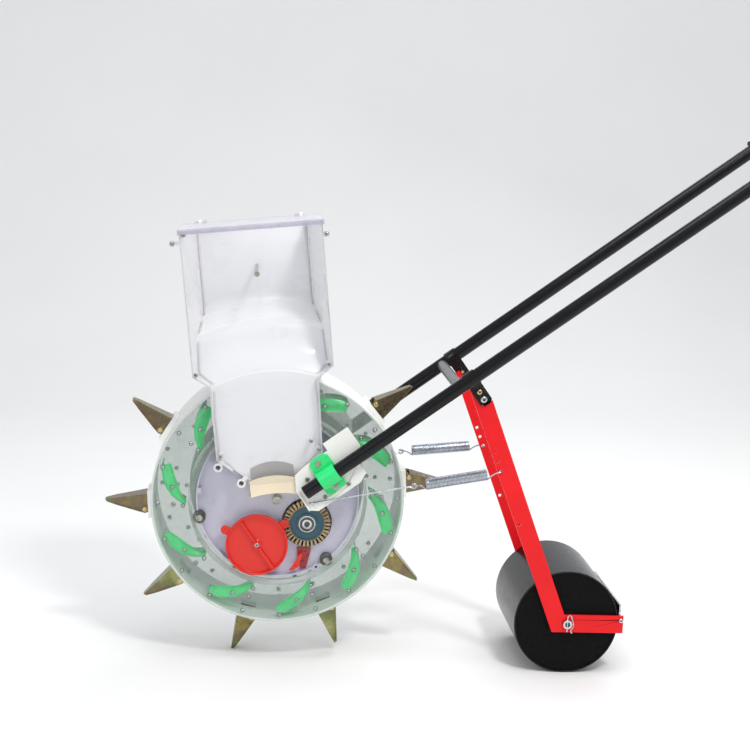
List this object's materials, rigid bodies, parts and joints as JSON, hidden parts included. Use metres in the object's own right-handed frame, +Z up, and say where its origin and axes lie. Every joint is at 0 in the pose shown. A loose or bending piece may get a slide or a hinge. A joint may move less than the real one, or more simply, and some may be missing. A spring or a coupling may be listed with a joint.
{
  "type": "push seeder",
  "caption": "Hand-push seeder: a duckbill wheel meters seed from a clear hopper and plants it, with a sprung press roller behind and a two-tube handle.",
  "frame": {"origin": "on the ground, under the middle of the machine's overall length and width", "axes": "+Z up, -X the direction of travel, +X towards the hand grips, Y along the wheel axle"},
  "size_m": [1.3199, 0.297, 1.0654],
  "materials": {
    "clear": "clear moulded plastic",
    "white": "moulded",
    "translucent": "frosted plastic",
    "core": "moulded",
    "green": "moulded",
    "cream": "moulded",
    "red_plastic": "moulded",
    "dark_red": "satin",
    "zinc": "yellow passivated zinc",
    "steel": "plated",
    "brass": "satin",
    "dark_steel": "oiled",
    "black": "satin",
    "rubber": "ribbed",
    "grey_paint": "satin",
    "red_paint": "gloss",
    "roller_paint": "satin",
    "teal": "satin",
    "bristle": "stiff bristle",
    "gear": "moulded"
  },
  "bodies": {
    "frame": {"core_housing": "core", "core_rear": "core", "core_bolts": "brass", "seed_outlet": "cream", "seed_guard": "dark_red", "hopper_shell": "translucent", "hopper_panel": "clear", "hopper_screws": "steel", "hopper_stay": "steel", "handle_tubes": "black", "handle_grips": "rubber", "crossbar": "grey_paint", "tube_clamps": "green", "clamp_bolts": "brass", "handle_brackets": "white", "bracket_screws": "steel", "straps": "black", "strap_bolts": "brass", "pivot_bolts": "steel", "spring_rods": "steel", "springs": "steel"},
    "wheel": {"wheel_front_plate": "clear", "wheel_rear_plate": "clear", "wheel_rim": "white", "ring_gear": "gear", "seed_chutes": "green", "wheel_screw_set": "steel", "duckbill_sockets": "white", "duckbill_shells": "zinc", "duckbill_pins": "brass"},
    "metering": {"metering_roller": "gear", "metering_gear": "gear"},
    "brush": {"brush_gear": "gear", "brush_disc": "teal", "brush_bearing": "steel", "brush_bristles": "bristle"},
    "cap": {"meter_cap": "red_plastic", "cap_screw": "steel"},
    "lever": {"guard_lever": "red_plastic"},
    "lid": {"hopper_lid": "clear"},
    "roller_frame": {"roller_arms": "red_paint", "scraper_bars": "red_paint", "scraper_blade": "steel", "roller_axle": "steel", "axle_clips": "steel"},
    "press_roller": {"roller_shell": "roller_paint", "roller_ends": "black"},
    "guide_1": {"guide_roller_1": "dark_steel"},
    "guide_2": {"guide_roller_2": "dark_steel"},
    "guide_3": {"guide_roller_3": "dark_steel"},
    "duckbill_01": {"flap_01": "zinc"},
    "duckbill_02": {"flap_02": "zinc"},
    "duckbill_03": {"flap_03": "zinc"},
    "duckbill_04": {"flap_04": "zinc"},
    "duckbill_05": {"flap_05": "zinc"},
    "duckbill_06": {"flap_06": "zinc"},
    "duckbill_07": {"flap_07": "zinc"},
    "duckbill_08": {"flap_08": "zinc"},
    "duckbill_09": {"flap_09": "zinc"},
    "duckbill_10": {"flap_10": "zinc"}
  },
  "joints": [
    {"name": "wheel_spin", "type": "hinge", "parent": "frame", "child": "wheel", "pos_m": [-0.3414, 0, 0.31031], "axis": [0, -1, 0], "continuous": true},
    {"name": "metering_spin", "type": "hinge", "parent": "frame", "child": "metering", "pos_m": [-0.37726, 0, 0.22288], "axis": [0, -1, 0], "continuous": true},
    {"name": "brush_spin", "type": "hinge", "parent": "frame", "child": "brush", "pos_m": [-0.28602, 0, 0.26274], "axis": [0, -1, 0], "continuous": true},
    {"name": "guide_1_spin", "type": "hinge", "parent": "frame", "child": "guide_1", "pos_m": [-0.48408, 0, 0.27101], "axis": [0, -1, 0], "continuous": true},
    {"name": "guide_2_spin", "type": "hinge", "parent": "frame", "child": "guide_2", "pos_m": [-0.24766, 0, 0.19578], "axis": [0, -1, 0], "continuous": true},
    {"name": "guide_3_spin", "type": "hinge", "parent": "frame", "child": "guide_3", "pos_m": [-0.29813, 0, 0.45185], "axis": [0, -1, 0], "continuous": true},
    {"name": "flap_01_open", "type": "hinge", "parent": "wheel", "child": "duckbill_01", "pos_m": [-0.09722, 0, 0.34775], "axis": [0, -1, 0], "range_deg": [0, 20], "stiffness_Nm_per_rad": 0.4, "springref_deg": -20.05},
    {"name": "flap_02_open", "type": "hinge", "parent": "wheel", "child": "duckbill_02", "pos_m": [-0.16586, 0, 0.48412], "axis": [0, -1, 0], "range_deg": [0, 20], "stiffness_Nm_per_rad": 0.4, "springref_deg": -20.05},
    {"name": "flap_03_open", "type": "hinge", "parent": "wheel", "child": "duckbill_03", "pos_m": [-0.30155, 0, 0.55411], "axis": [0, -1, 0], "range_deg": [0, 20], "stiffness_Nm_per_rad": 0.4, "springref_deg": -20.05},
    {"name": "flap_04_open", "type": "hinge", "parent": "wheel", "child": "duckbill_04", "pos_m": [-0.45246, 0, 0.53097], "axis": [0, -1, 0], "range_deg": [0, 20], "stiffness_Nm_per_rad": 0.4, "springref_deg": -20.05},
    {"name": "flap_05_open", "type": "hinge", "parent": "wheel", "child": "duckbill_05", "pos_m": [-0.56095, 0, 0.42355], "axis": [0, -1, 0], "range_deg": [0, 20], "stiffness_Nm_per_rad": 0.4, "springref_deg": -20.05},
    {"name": "flap_06_open", "type": "hinge", "parent": "wheel", "child": "duckbill_06", "pos_m": [-0.58557, 0, 0.27288], "axis": [0, -1, 0], "range_deg": [0, 20], "stiffness_Nm_per_rad": 0.4, "springref_deg": -20.05},
    {"name": "flap_07_open", "type": "hinge", "parent": "wheel", "child": "duckbill_07", "pos_m": [-0.51694, 0, 0.1365], "axis": [0, -1, 0], "range_deg": [0, 20], "stiffness_Nm_per_rad": 0.4, "springref_deg": -20.05},
    {"name": "flap_08_open", "type": "hinge", "parent": "wheel", "child": "duckbill_08", "pos_m": [-0.38125, 0, 0.06652], "axis": [0, -1, 0], "range_deg": [0, 20], "stiffness_Nm_per_rad": 0.4, "springref_deg": -20.05},
    {"name": "flap_09_open", "type": "hinge", "parent": "wheel", "child": "duckbill_09", "pos_m": [-0.23034, 0, 0.08966], "axis": [0, -1, 0], "range_deg": [0, 20], "stiffness_Nm_per_rad": 0.4, "springref_deg": -20.05},
    {"name": "flap_10_open", "type": "hinge", "parent": "wheel", "child": "duckbill_10", "pos_m": [-0.12185, 0, 0.19708], "axis": [0, -1, 0], "range_deg": [0, 20], "stiffness_Nm_per_rad": 0.4, "springref_deg": -20.05},
    {"name": "cap_twist", "type": "hinge", "parent": "frame", "child": "cap", "pos_m": [-0.37726, 0, 0.22288], "axis": [0, -1, 0], "range_deg": [0, 25]},
    {"name": "lever_turn", "type": "hinge", "parent": "frame", "child": "lever", "pos_m": [-0.3034, 0, 0.18481], "axis": [0, -1, 0], "range_deg": [-30, 30]},
    {"name": "lid_open", "type": "hinge", "parent": "frame", "child": "lid", "pos_m": [-0.40865, 0.0665, 0.81192], "axis": [-0.9928, 0, -0.1201], "range_deg": [0, 105]},
    {"name": "roller_frame_swing", "type": "hinge", "parent": "frame", "child": "roller_frame", "pos_m": [0.0201, 0, 0.51791], "axis": [0, -1, 0], "range_deg": [0, 20], "stiffness_Nm_per_rad": 60, "springref_deg": -20.05, "deforming": ["springs"]},
    {"name": "press_roller_spin", "type": "hinge", "parent": "roller_frame", "child": "press_roller", "pos_m": [0.2031, 0, 0.09831], "axis": [0, -1, 0], "continuous": true}
  ],
  "couplings": [
    {"joint": "metering_spin", "follows": "wheel_spin", "ratio": 3.3333},
    {"joint": "brush_spin", "follows": "wheel_spin", "ratio": -3.2222}
  ]
}
